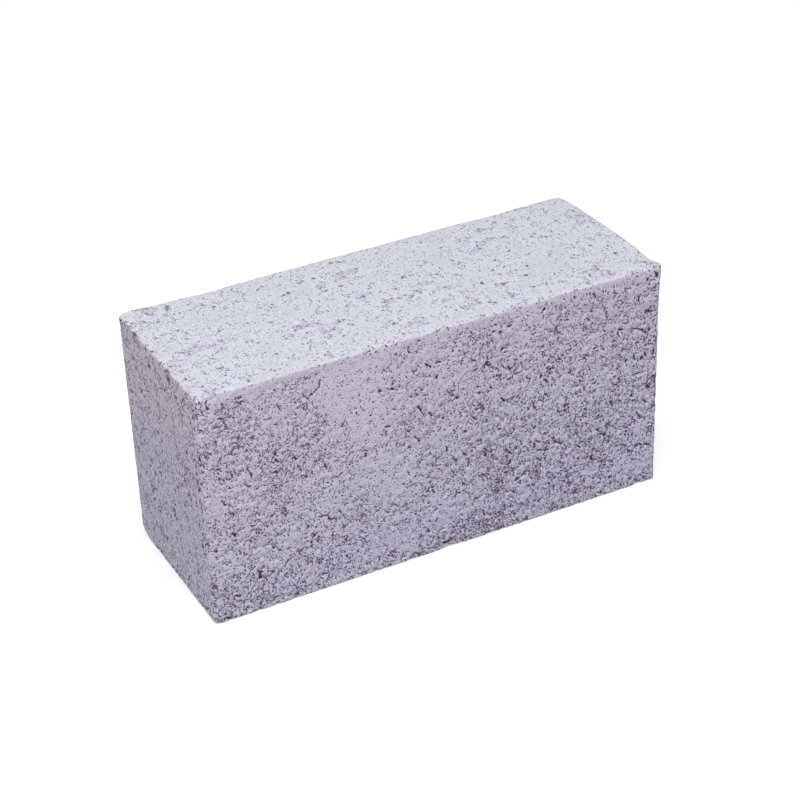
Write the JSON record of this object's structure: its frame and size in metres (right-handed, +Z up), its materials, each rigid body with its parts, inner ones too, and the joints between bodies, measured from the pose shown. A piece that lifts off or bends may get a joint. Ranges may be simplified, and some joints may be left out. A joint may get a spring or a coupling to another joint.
{
  "type": "solid concrete block",
  "caption": "Solid rectangular building block cast in open-textured grey concrete, with eased edges and knocked corners, laid in mortar as a wall unit.",
  "frame": {"origin": "middle of the lower bed face, on the floor that the block stands on", "axes": "+X along the block's length, +Y through its thickness towards the back face, +Z up from bed to bed; the face and the end seen in the picture look towards -Y and -X"},
  "size_m": [0.4, 0.15, 0.2],
  "materials": {
    "concrete": "matte"
  },
  "bodies": {
    "root": {"concrete_block": "concrete"}
  },
  "joints": []
}
